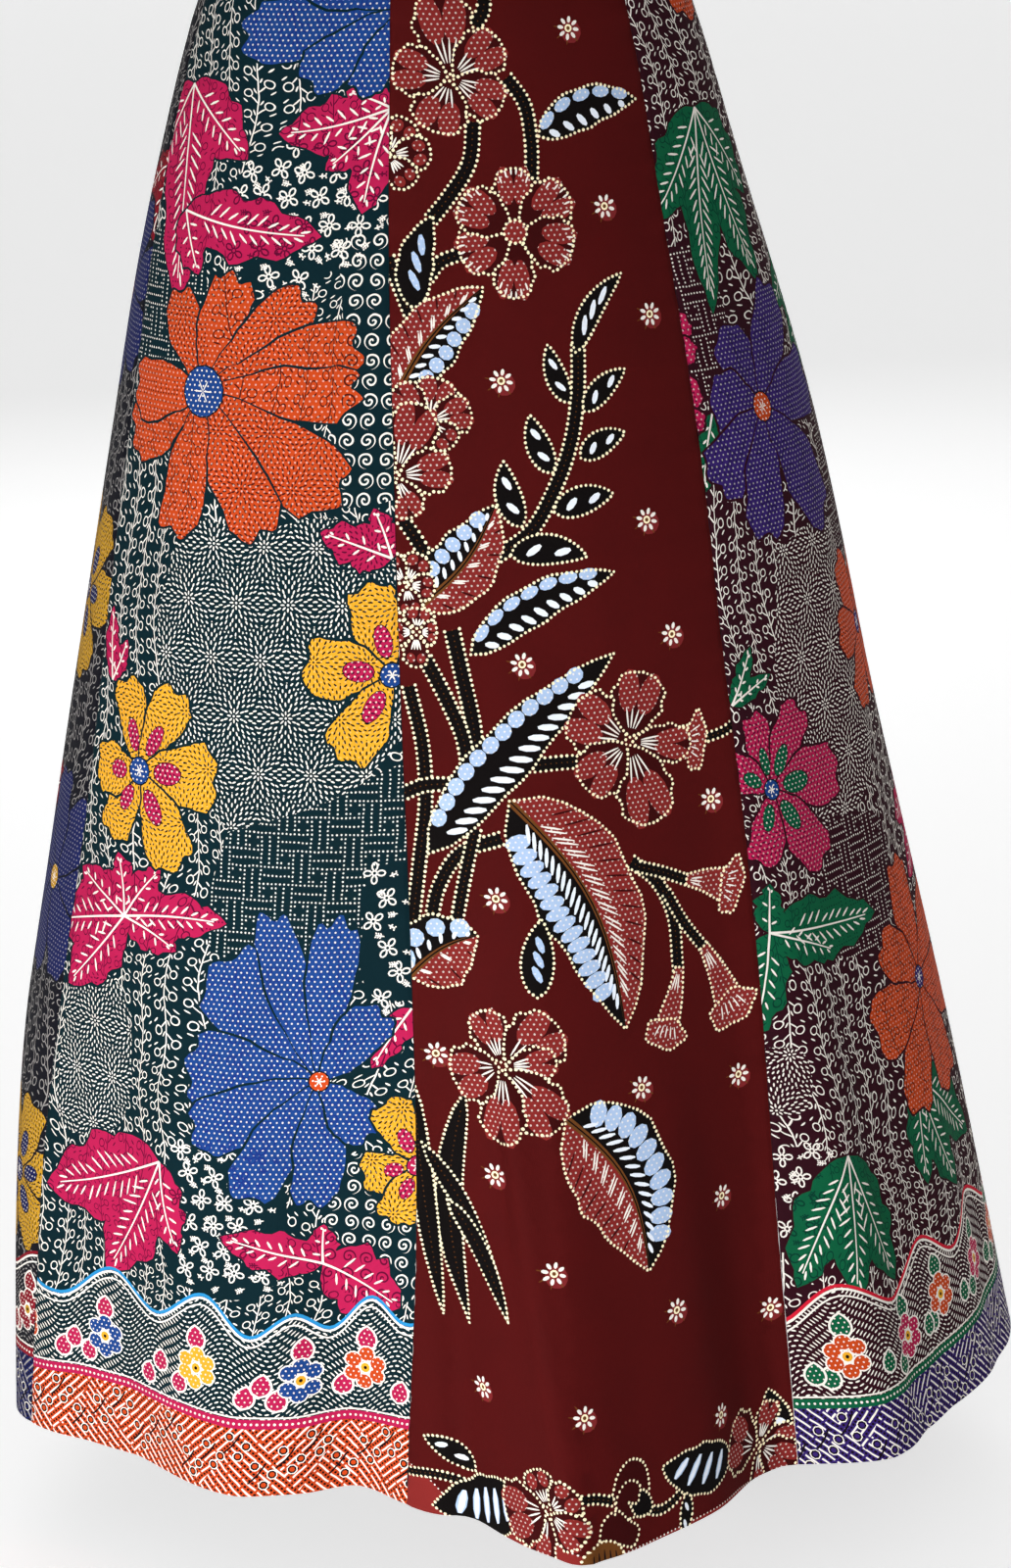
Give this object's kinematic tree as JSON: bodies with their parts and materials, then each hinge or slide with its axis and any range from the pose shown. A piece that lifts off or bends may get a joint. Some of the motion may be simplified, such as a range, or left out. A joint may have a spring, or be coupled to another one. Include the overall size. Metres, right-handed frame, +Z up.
{
  "type": "long gored batik skirt",
  "caption": "Long flared skirt of joined batik gores, open at waist and hem, with a plain waistband and a zip at centre back.",
  "frame": {"origin": "middle of the waist at the band's top edge, where the wearer holds the skirt up", "axes": "+Z up out of the waist, front gore faces -Y, +X to the right as seen from in front"},
  "size_m": [0.6651, 0.5919, 0.9856],
  "materials": {
    "maroon_batik": "batik-printed cotton, maroon ground, soft satin sheen",
    "teal_batik": "batik-printed cotton, dark teal ground",
    "plum_batik": "batik-printed cotton, dark plum ground",
    "charcoal_batik": "batik-printed cotton, charcoal ground",
    "maroon_band": "plain maroon cotton, interfaced",
    "zip_tape": "woven zip tape",
    "zip_metal": "enamelled zip slider and pull"
  },
  "bodies": {
    "skirt": {"gore_centre_front": "maroon_batik", "gore_left_front": "teal_batik", "gore_right_front": "plum_batik", "gore_left_back": "charcoal_batik", "gore_right_back": "charcoal_batik", "waistband": "maroon_band", "zip_tape_left": "zip_tape", "zip_tape_right": "zip_tape", "zip_slider": "zip_metal"},
    "pull": {"zip_pull": "zip_metal"}
  },
  "joints": [
    {"name": "pull_swing", "type": "hinge", "parent": "skirt", "child": "pull", "pos_m": [0, 0.09833, -0.00814], "axis": [1, 0, 0], "range_deg": [0, 150]}
  ]
}
